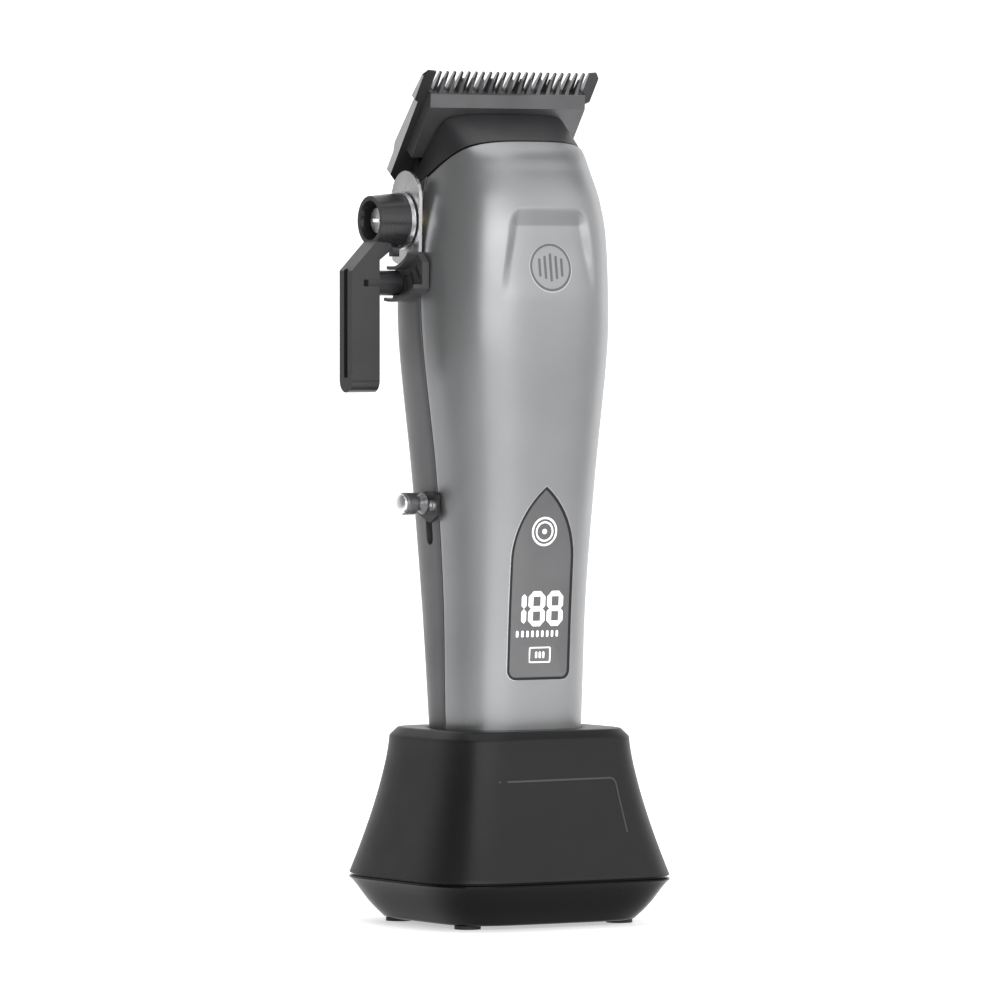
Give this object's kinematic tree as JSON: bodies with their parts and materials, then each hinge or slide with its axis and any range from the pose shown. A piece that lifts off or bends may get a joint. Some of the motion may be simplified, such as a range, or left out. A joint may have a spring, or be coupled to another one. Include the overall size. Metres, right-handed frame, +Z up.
{
  "type": "hair clipper",
  "caption": "Cordless hair clipper with a taper lever, side power switch and lit display, standing in a flared charging stand.",
  "frame": {"origin": "centre of the stand's underside, on the plane of its feet", "axes": "+Z up; the display faces -Y; the taper lever and power switch are on the -X side"},
  "size_m": [0.0688, 0.0582, 0.1937],
  "materials": {
    "stand_black": "matt moulded, fine grain",
    "tray_gloss": "gloss black",
    "foot_rubber": "matt rubber",
    "dark_plastic": "matt moulded",
    "ballast_iron": "rough cast",
    "circuit_board": "solder mask",
    "plated_steel": "zinc plated",
    "contact_brass": "gold flash",
    "cover_metal": "satin metallic grey",
    "housing_dark": "satin dark grey",
    "lens_grey": "smoked lens",
    "display_black": "gloss",
    "cell_wrap": "shrink wrap",
    "motor_parts": "sintered",
    "acetal_white": "acetal",
    "blade_steel": "black coated steel",
    "cutter_steel": "black coated steel",
    "lever_black": "satin black",
    "detent_dark": "satin",
    "knob_grey": "satin grey",
    "cap_silver": "polished"
  },
  "bodies": {
    "stand": {"stand_shell": "stand_black", "stand_tray": "tray_gloss", "stand_feet": "foot_rubber", "stand_ballast": "ballast_iron", "stand_board": "circuit_board", "stand_inlet": "plated_steel", "stand_screws": "plated_steel", "socket_floor": "dark_plastic", "pin_sleeves": "contact_brass"},
    "contact_pins": {"charge_pins": "contact_brass"},
    "clipper": {"top_cover": "cover_metal", "lower_housing": "housing_dark", "seam_gasket": "dark_plastic", "end_cap": "dark_plastic", "cap_screws": "plated_steel", "charge_contacts": "contact_brass", "display_lens": "lens_grey", "display_panel": "display_black", "display_board": "circuit_board", "main_board": "circuit_board", "battery": "cell_wrap", "chassis": "dark_plastic", "motor_can": "plated_steel", "motor_bearing": "contact_brass", "motor_mount": "dark_plastic", "motor_magnets": "motor_parts", "head_collar": "dark_plastic", "fixed_blade": "blade_steel", "blade_screws": "plated_steel", "lever_plate": "plated_steel", "detent_plate": "detent_dark", "lever_bush": "contact_brass", "switch_body": "dark_plastic"},
    "rotor": {"rotor_core": "motor_parts", "motor_shaft": "plated_steel", "drive_cam": "acetal_white"},
    "taper_carriage": {"cutter_guide": "acetal_white", "cutter_spring": "plated_steel"},
    "cutter": {"moving_blade": "cutter_steel", "cam_follower": "acetal_white"},
    "lever": {"lever_cam": "plated_steel", "taper_lever": "lever_black", "lever_screw": "plated_steel", "lever_washer": "plated_steel"},
    "detent_plunger": {"detent_pin": "dark_plastic"},
    "power_switch": {"switch_plate": "dark_plastic", "switch_knob": "knob_grey", "switch_cap": "cap_silver", "switch_screw": "plated_steel"}
  },
  "joints": [
    {"name": "clipper_lift", "type": "slide", "parent": "stand", "child": "clipper", "axis": [0, 0, 1], "range_m": [0, 0.06]},
    {"name": "pin_press", "type": "slide", "parent": "stand", "child": "contact_pins", "axis": [0, 0, -1], "range_m": [0, 0.001], "stiffness_N_per_m": 200},
    {"name": "rotor_spin", "type": "hinge", "parent": "clipper", "child": "rotor", "pos_m": [0, 0.003, 0.14], "axis": [0, 0, 1], "continuous": true},
    {"name": "taper_slide", "type": "slide", "parent": "clipper", "child": "taper_carriage", "axis": [0, 0.6018, -0.7986], "range_m": [0, 0.00138]},
    {"name": "cutter_stroke", "type": "slide", "parent": "taper_carriage", "child": "cutter", "axis": [1, 0, 0], "range_m": [-0.0011, 0.0011]},
    {"name": "lever_turn", "type": "hinge", "parent": "clipper", "child": "lever", "pos_m": [-0.0228, 0.0091, 0.1597], "axis": [-1, 0, 0], "range_deg": [0, 34.5]},
    {"name": "detent_click", "type": "slide", "parent": "lever", "child": "detent_plunger", "axis": [-1, 0, 0], "range_m": [0, 0.0006], "stiffness_N_per_m": 300},
    {"name": "power_slide", "type": "slide", "parent": "clipper", "child": "power_switch", "axis": [0, 0, -1], "range_m": [0, 0.005]}
  ],
  "couplings": [
    {"joint": "lever_turn", "follows": "taper_slide", "rad_per_m": 434.78}
  ]
}
